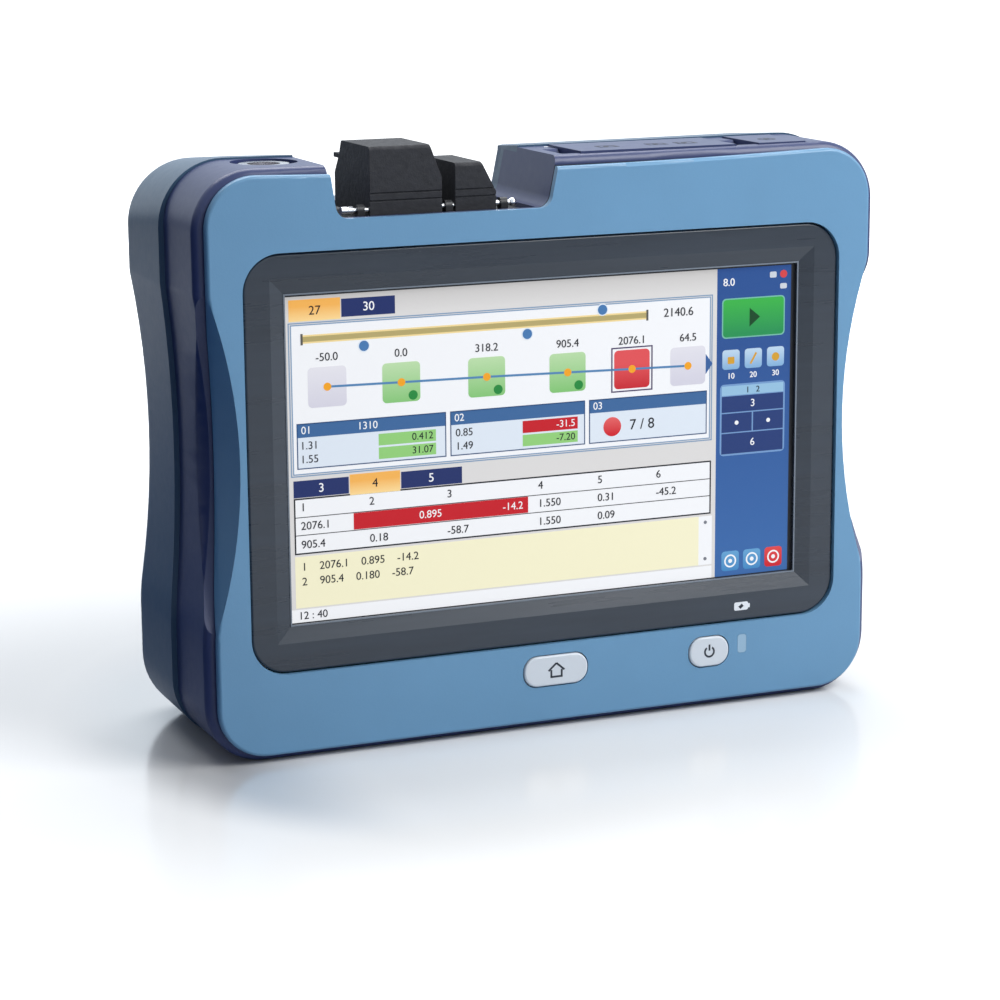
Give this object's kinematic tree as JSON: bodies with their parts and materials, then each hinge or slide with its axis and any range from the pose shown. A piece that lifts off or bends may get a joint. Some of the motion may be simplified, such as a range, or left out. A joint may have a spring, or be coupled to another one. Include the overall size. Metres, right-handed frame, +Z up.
{
  "type": "handheld optical time domain reflectometer",
  "caption": "Handheld fibre tester: waisted three-part casing, touch screen in a dark bezel, front buttons, hinged dust caps in a top notch, service doors, rear stand and battery cover.",
  "frame": {"origin": "middle of the footprint, on the surface the instrument stands on", "axes": "+X to the right seen from the screen side, +Y to the rear, +Z up"},
  "size_m": [0.203, 0.0685, 0.1633],
  "materials": {
    "blue_shell": "satin moulded plastic, steel blue",
    "indigo_band": "satin moulded plastic, dark indigo",
    "slate_shell": "satin moulded plastic, slate grey",
    "seal_rubber": "matt",
    "screw_steel": "bright",
    "bezel_plastic": "fine satin charcoal",
    "screen_glass": "clear anti-glare",
    "panel_black": "display module",
    "bracket_alloy": "plain",
    "board_green": "circuit board",
    "button_plastic": "pale grey, satin",
    "led_lens": "frosted light window",
    "black_plastic": "satin black",
    "cap_plastic": "satin black",
    "port_steel": "nickel bright",
    "ceramic": "white ceramic",
    "contact_brass": "gold flash"
  },
  "bodies": {
    "housing": {"front_shell": "blue_shell", "mid_housing": "indigo_band", "rear_housing": "slate_shell", "housing_seal": "seal_rubber", "button_membrane": "seal_rubber", "rear_screws": "screw_steel", "stand_pin": "screw_steel", "cap_hinge_rod": "screw_steel", "port_door_pin": "screw_steel", "dc_door_pin": "screw_steel", "bezel_frame": "bezel_plastic", "touch_glass": "screen_glass", "lcd_panel": "panel_black", "lcd_bracket": "bracket_alloy", "main_board": "board_green", "button_board": "board_green", "optical_module": "bracket_alloy", "led_window": "led_lens", "connector_panel": "black_plastic", "optical_port": "port_steel", "laser_port": "port_steel", "optical_ferrule": "ceramic", "meter_ring": "port_steel", "meter_window": "led_lens", "network_jack": "black_plastic", "usb_jacks": "port_steel", "dc_jack": "black_plastic", "dc_jack_pin": "port_steel", "battery_contacts": "contact_brass"},
    "home_button": {"home_button": "button_plastic"},
    "power_button": {"power_button": "button_plastic"},
    "large_cap": {"large_cap": "cap_plastic"},
    "small_cap": {"small_cap": "cap_plastic"},
    "port_door": {"port_door": "indigo_band"},
    "dc_door": {"dc_door": "indigo_band"},
    "stand": {"stand": "slate_shell"},
    "battery_lid": {"battery_lid": "slate_shell", "lid_screws": "screw_steel"},
    "battery_pack": {"battery_pack": "black_plastic"}
  },
  "joints": [
    {"name": "home_press", "type": "slide", "parent": "housing", "child": "home_button", "axis": [0, 1, 0], "range_m": [0, 0.0008], "stiffness_N_per_m": 1500, "springref_m": -0.001},
    {"name": "power_press", "type": "slide", "parent": "housing", "child": "power_button", "axis": [0, 1, 0], "range_m": [0, 0.0008], "stiffness_N_per_m": 1500, "springref_m": -0.001},
    {"name": "large_cap_hinge", "type": "hinge", "parent": "housing", "child": "large_cap", "pos_m": [-0.0395, -0.0254, 0.1466], "axis": [1, 0, 0], "range_deg": [0, 85]},
    {"name": "small_cap_hinge", "type": "hinge", "parent": "housing", "child": "small_cap", "pos_m": [-0.0195, -0.0254, 0.1466], "axis": [1, 0, 0], "range_deg": [0, 85]},
    {"name": "port_door_hinge", "type": "hinge", "parent": "housing", "child": "port_door", "pos_m": [0.0339, -0.0071, 0.1587], "axis": [-1, 0, 0], "range_deg": [0, 100]},
    {"name": "dc_door_hinge", "type": "hinge", "parent": "housing", "child": "dc_door", "pos_m": [0.0719, -0.0071, 0.1587], "axis": [-1, 0, 0], "range_deg": [0, 100]},
    {"name": "stand_hinge", "type": "hinge", "parent": "housing", "child": "stand", "pos_m": [0, 0.0324, 0.0584], "axis": [1, 0, 0], "range_deg": [0, 35]},
    {"name": "battery_pack_out", "type": "slide", "parent": "housing", "child": "battery_pack", "axis": [0, 1, 0], "range_m": [0, 0.04]},
    {"name": "battery_lid_off", "type": "slide", "parent": "housing", "child": "battery_lid", "axis": [0, 1, 0], "range_m": [0, 0.08]}
  ],
  "couplings": [
    {"joint": "battery_lid_off", "follows": "battery_pack_out", "ratio": 2}
  ]
}
